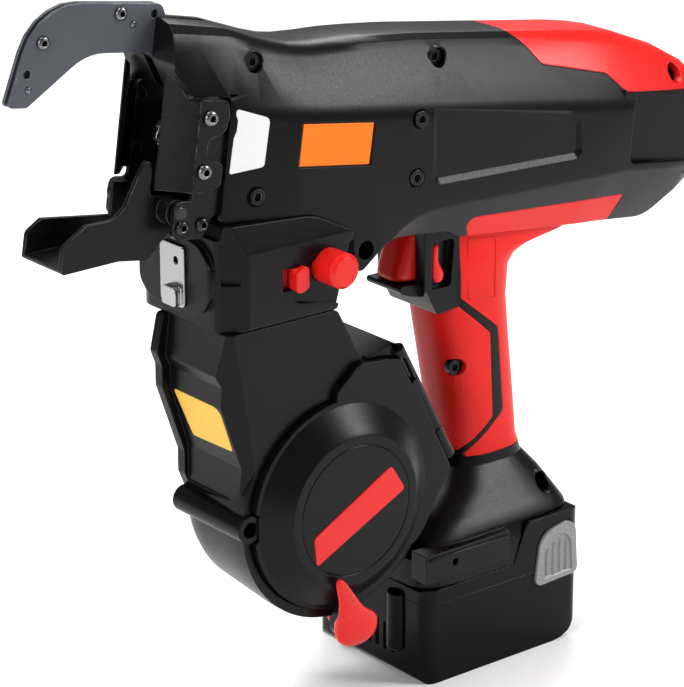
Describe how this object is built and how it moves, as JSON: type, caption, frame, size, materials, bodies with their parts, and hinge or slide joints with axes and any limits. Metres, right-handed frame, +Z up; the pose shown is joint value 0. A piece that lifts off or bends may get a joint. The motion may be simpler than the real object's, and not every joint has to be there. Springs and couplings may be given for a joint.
{
  "type": "rebar tying tool",
  "caption": "Hand held battery tool that feeds wire from a side drum round crossed reinforcing bars through a curved jaw and twists it tight.",
  "frame": {"origin": "middle of the flat base of the battery, on which the tool stands", "axes": "+X to the rear along the base, with the jaw at -X; +Y to the tool's right; +Z up from the base"},
  "size_m": [0.3324, 0.0841, 0.2979],
  "materials": {
    "black_plastic": "fine grained black moulding",
    "dark_plastic": "smooth dark moulding",
    "battery_plastic": "glossy black moulding",
    "red_plastic": "satin red moulding",
    "red_grip": "red soft grip",
    "steel": "bright machined steel",
    "dark_steel": "grey coated steel",
    "black_steel": "black coated steel",
    "aluminium": "die cast aluminium",
    "bronze": "bearing bronze",
    "copper": "copper contact strip",
    "board": "green board",
    "cell": "sleeved cell",
    "grey_plastic": "light grey moulding"
  },
  "bodies": {
    "housing": {"left_housing": "black_plastic", "right_housing": "black_plastic", "rear_cover": "red_plastic", "left_grip": "red_grip", "right_grip": "red_grip", "front_grip": "red_grip", "rear_panel": "dark_plastic", "control_board": "board", "housing_screws": "black_steel", "left_contact_plate": "black_steel", "right_contact_plate": "black_steel", "contact_screws": "steel", "left_side_frame": "black_steel", "right_side_frame": "black_steel", "arm_mount": "aluminium", "arm_left_plate": "dark_steel", "arm_core": "black_steel", "arm_right_plate": "dark_steel", "arm_screws": "steel", "guide_pin": "steel", "twist_motor": "steel", "gear_case": "aluminium", "front_bearing": "bronze", "feed_housing": "black_plastic", "wire_guide_plate": "steel", "feed_bracket": "dark_steel", "feed_motor": "steel", "trigger_switch": "dark_plastic", "trigger_spring": "steel", "magazine_body": "black_plastic", "hinge_pin": "steel", "reel_hub": "dark_plastic", "terminal_block": "dark_plastic"},
    "output": {"carrier": "steel", "twister_sleeve": "steel", "twister_hooks": "steel"},
    "sun": {"sun_pinion": "steel"},
    "planet_a": {"planet_a": "steel"},
    "planet_b": {"planet_b": "steel"},
    "planet_c": {"planet_c": "steel"},
    "drive_gear": {"drive_feed_gear": "steel"},
    "idle_gear": {"idle_feed_gear": "steel"},
    "push_button": {"push_button": "red_plastic"},
    "release_tab": {"release_tab": "red_plastic"},
    "trigger": {"trigger": "red_plastic"},
    "trigger_lock": {"trigger_lock": "red_plastic"},
    "cover": {"magazine_cover": "black_plastic"},
    "lever": {"lock_lever": "red_plastic"},
    "reel": {"wire_reel": "dark_plastic", "wire_winding": "steel"},
    "battery": {"battery_case": "battery_plastic", "battery_lid": "battery_plastic", "battery_cells": "cell", "battery_contacts": "copper"},
    "left_catch": {"left_battery_button": "grey_plastic"},
    "right_catch": {"right_battery_button": "grey_plastic"},
    "dial": {"torque_dial": "dark_plastic"},
    "power_button": {"power_button": "grey_plastic"},
    "scoop": {"lower_guide": "black_steel"}
  },
  "joints": [
    {"name": "output_spin", "type": "hinge", "parent": "housing", "child": "output", "pos_m": [-0.0562, 0, 0.23043], "axis": [0.9895, 0, -0.1444], "continuous": true},
    {"name": "sun_spin", "type": "hinge", "parent": "housing", "child": "sun", "pos_m": [0.00318, 0, 0.22177], "axis": [0.9895, 0, -0.1444], "continuous": true},
    {"name": "planet_a_spin", "type": "hinge", "parent": "output", "child": "planet_a", "pos_m": [-0.00598, 0, 0.23523], "axis": [0.9895, 0, -0.1444], "continuous": true},
    {"name": "planet_b_spin", "type": "hinge", "parent": "output", "child": "planet_b", "pos_m": [-0.00857, -0.01039, 0.21742], "axis": [0.9895, 0, -0.1444], "continuous": true},
    {"name": "planet_c_spin", "type": "hinge", "parent": "output", "child": "planet_c", "pos_m": [-0.00857, 0.01039, 0.21742], "axis": [0.9895, 0, -0.1444], "continuous": true},
    {"name": "drive_gear_spin", "type": "hinge", "parent": "housing", "child": "drive_gear", "pos_m": [-0.098, -0.005, 0.187], "axis": [0, 1, 0], "continuous": true},
    {"name": "idle_gear_spin", "type": "hinge", "parent": "housing", "child": "idle_gear", "pos_m": [-0.113, -0.005, 0.187], "axis": [0, 1, 0], "continuous": true},
    {"name": "reel_spin", "type": "hinge", "parent": "housing", "child": "reel", "pos_m": [-0.084, -0.017, 0.091], "axis": [0, 1, 0], "continuous": true},
    {"name": "push_button_press", "type": "slide", "parent": "housing", "child": "push_button", "axis": [0, 1, 0], "range_m": [0, 0.004], "stiffness_N_per_m": 600},
    {"name": "release_tab_slide", "type": "slide", "parent": "housing", "child": "release_tab", "axis": [-1, 0, 0], "range_m": [0, 0.004], "stiffness_N_per_m": 400},
    {"name": "trigger_pull", "type": "slide", "parent": "housing", "child": "trigger", "axis": [1, 0, 0], "range_m": [0, 0.007], "stiffness_N_per_m": 700},
    {"name": "trigger_lock_turn", "type": "hinge", "parent": "housing", "child": "trigger_lock", "pos_m": [-0.02, -0.012, 0.177], "axis": [0, -1, 0], "range_deg": [0, 12]},
    {"name": "cover_hinge", "type": "hinge", "parent": "housing", "child": "cover", "pos_m": [-0.0415, -0.0305, 0.1225], "axis": [-0.4679, 0, 0.8838], "range_deg": [0, 95]},
    {"name": "lock_lever_turn", "type": "hinge", "parent": "cover", "child": "lever", "pos_m": [-0.08, -0.037, 0.039], "axis": [0, -1, 0], "range_deg": [0, 90]},
    {"name": "battery_slide", "type": "slide", "parent": "housing", "child": "battery", "axis": [1, 0, 0], "range_m": [0, 0.09]},
    {"name": "left_battery_press", "type": "slide", "parent": "battery", "child": "left_catch", "axis": [0, 1, 0], "range_m": [0, 0.0012], "stiffness_N_per_m": 900},
    {"name": "right_battery_press", "type": "slide", "parent": "battery", "child": "right_catch", "axis": [0, -1, 0], "range_m": [0, 0.0012], "stiffness_N_per_m": 900},
    {"name": "torque_dial_turn", "type": "hinge", "parent": "housing", "child": "dial", "pos_m": [0.11755, 0, 0.20913], "axis": [0.9895, 0, -0.1444], "range_deg": [-135, 135]},
    {"name": "power_button_press", "type": "slide", "parent": "housing", "child": "power_button", "axis": [-0.9895, 0, 0.1444], "range_m": [0, 0.0015], "stiffness_N_per_m": 900},
    {"name": "scoop_hinge", "type": "hinge", "parent": "housing", "child": "scoop", "pos_m": [-0.14988, 0, 0.21863], "axis": [0, -1, 0], "range_deg": [0, 22], "stiffness_Nm_per_rad": 0.6}
  ],
  "couplings": [
    {"joint": "sun_spin", "follows": "output_spin", "ratio": 4},
    {"joint": "planet_a_spin", "follows": "output_spin", "ratio": -3},
    {"joint": "planet_b_spin", "follows": "output_spin", "ratio": -3},
    {"joint": "planet_c_spin", "follows": "output_spin", "ratio": -3},
    {"joint": "idle_gear_spin", "follows": "drive_gear_spin", "ratio": -1}
  ]
}
